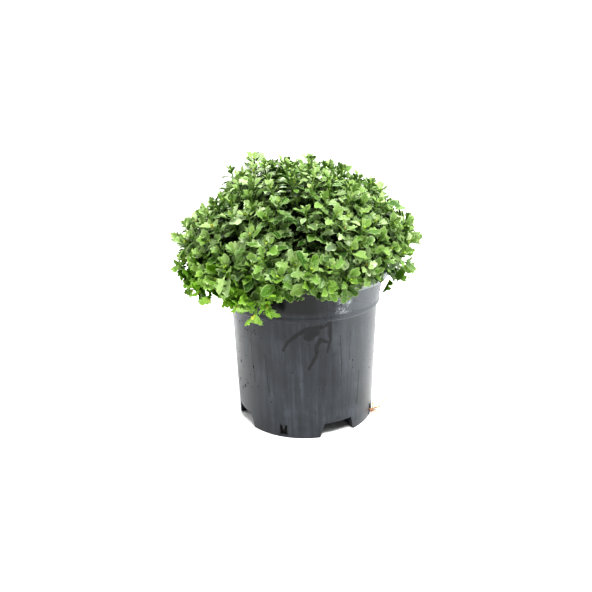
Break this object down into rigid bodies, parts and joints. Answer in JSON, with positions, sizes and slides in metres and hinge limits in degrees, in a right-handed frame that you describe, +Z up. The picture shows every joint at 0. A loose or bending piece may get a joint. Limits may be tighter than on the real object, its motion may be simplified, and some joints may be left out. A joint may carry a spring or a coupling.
{
  "type": "potted chrysanthemum",
  "caption": "Bushy dome-shaped chrysanthemum plant in tight bud, growing in a tapered round nursery pot of dark plastic with notched feet.",
  "frame": {"origin": "on the pot's axis, at the level of the faces of the feet that it stands on, which is the bottom centre of the whole plant's box", "axes": "+Z up along the pot's axis; X and Y along the two crossing channels under the pot; the gap in the foliage faces -Y, turned 27 degrees towards -X"},
  "size_m": [0.259, 0.2623, 0.2899],
  "materials": {
    "pot": "moulded polypropylene with a soft sheen, wet in places",
    "mix": "moist peat and bark, rough",
    "stem": "green to brownish stems, slightly ribbed",
    "leaf": "soft satin leaf, lighter beneath and at the edges",
    "root": "pale orange-brown root, matte"
  },
  "bodies": {
    "root": {"nursery_pot": "pot", "potting_mix": "mix", "stem_1": "stem", "stem_2": "stem", "stem_3": "stem", "stem_4": "stem", "stem_5": "stem", "shoot_01": "leaf", "shoot_02": "leaf", "shoot_03": "leaf", "shoot_04": "leaf", "shoot_05": "leaf", "shoot_06": "leaf", "shoot_07": "leaf", "shoot_08": "leaf", "shoot_09": "leaf", "shoot_10": "leaf", "shoot_11": "leaf", "shoot_12": "leaf", "shoot_13": "leaf", "shoot_14": "leaf", "shoot_15": "leaf", "shoot_16": "leaf", "shoot_17": "leaf", "shoot_18": "leaf", "shoot_19": "leaf", "shoot_20": "leaf", "shoot_21": "leaf", "shoot_22": "leaf", "shoot_23": "leaf", "shoot_24": "leaf", "shoot_25": "leaf", "shoot_26": "leaf", "shoot_27": "leaf", "shoot_28": "leaf", "shoot_29": "leaf", "shoot_30": "leaf", "shoot_31": "leaf", "shoot_32": "leaf", "shoot_33": "leaf", "shoot_34": "leaf", "shoot_35": "leaf", "shoot_36": "leaf", "shoot_37": "leaf", "shoot_38": "leaf", "shoot_39": "leaf", "shoot_40": "leaf", "shoot_41": "leaf", "shoot_42": "leaf", "shoot_43": "leaf", "shoot_44": "leaf", "shoot_45": "leaf", "shoot_46": "leaf", "trailing_shoot_left": "leaf", "trailing_shoot_front": "leaf", "trailing_shoot_right": "leaf", "root_sprig": "root"}
  },
  "joints": []
}
